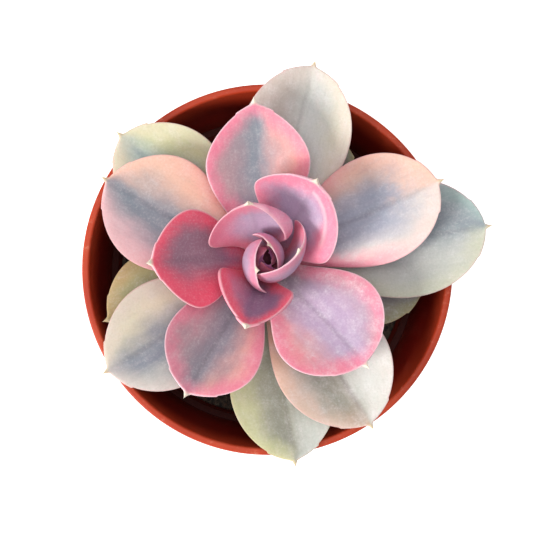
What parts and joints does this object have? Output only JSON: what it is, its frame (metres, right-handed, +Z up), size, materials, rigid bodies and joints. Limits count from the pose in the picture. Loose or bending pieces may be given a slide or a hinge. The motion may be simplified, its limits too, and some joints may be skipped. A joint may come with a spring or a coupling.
{
  "type": "potted succulent",
  "caption": "Rosette succulent with broad pointed fleshy leaves on a short stem, rooted in potting mix in a round plastic nursery pot.",
  "frame": {"origin": "on the pot's axis, on the surface the pot stands on", "axes": "+Z up along the pot's axis, +X to the right and -Y towards the near side of the plant as it is seen from above"},
  "size_m": [0.1148, 0.1093, 0.1125],
  "materials": {
    "pot_plastic": "thin terracotta-coloured nursery plastic, satin, dusty inside",
    "potting_mix": "dark damp potting mix with pale perlite and dry rootlets",
    "stem_skin": "short fibrous stem with leaf scars",
    "outer_leaf": "fleshy leaf with a powdery bloom, grey-green with a cream margin",
    "middle_leaf": "fleshy leaf with a powdery bloom, grey-lavender with a salmon-pink margin",
    "heart_leaf": "fleshy leaf with a powdery bloom, lavender-purple with a bright pink margin"
  },
  "bodies": {
    "root": {"pot": "pot_plastic", "soil": "potting_mix", "stem": "stem_skin", "leaf_01": "outer_leaf", "leaf_02": "outer_leaf", "leaf_03": "outer_leaf", "leaf_04": "outer_leaf", "leaf_05": "outer_leaf", "leaf_06": "outer_leaf", "leaf_07": "outer_leaf", "leaf_08": "outer_leaf", "leaf_09": "middle_leaf", "leaf_10": "middle_leaf", "leaf_11": "middle_leaf", "leaf_12": "middle_leaf", "leaf_13": "middle_leaf", "leaf_14": "middle_leaf", "leaf_15": "middle_leaf", "leaf_16": "heart_leaf", "leaf_17": "heart_leaf", "leaf_18": "heart_leaf", "leaf_19": "heart_leaf", "leaf_20": "heart_leaf", "leaf_21": "heart_leaf", "leaf_22": "heart_leaf", "leaf_23": "heart_leaf", "leaf_24": "heart_leaf", "leaf_25": "heart_leaf"}
  },
  "joints": []
}
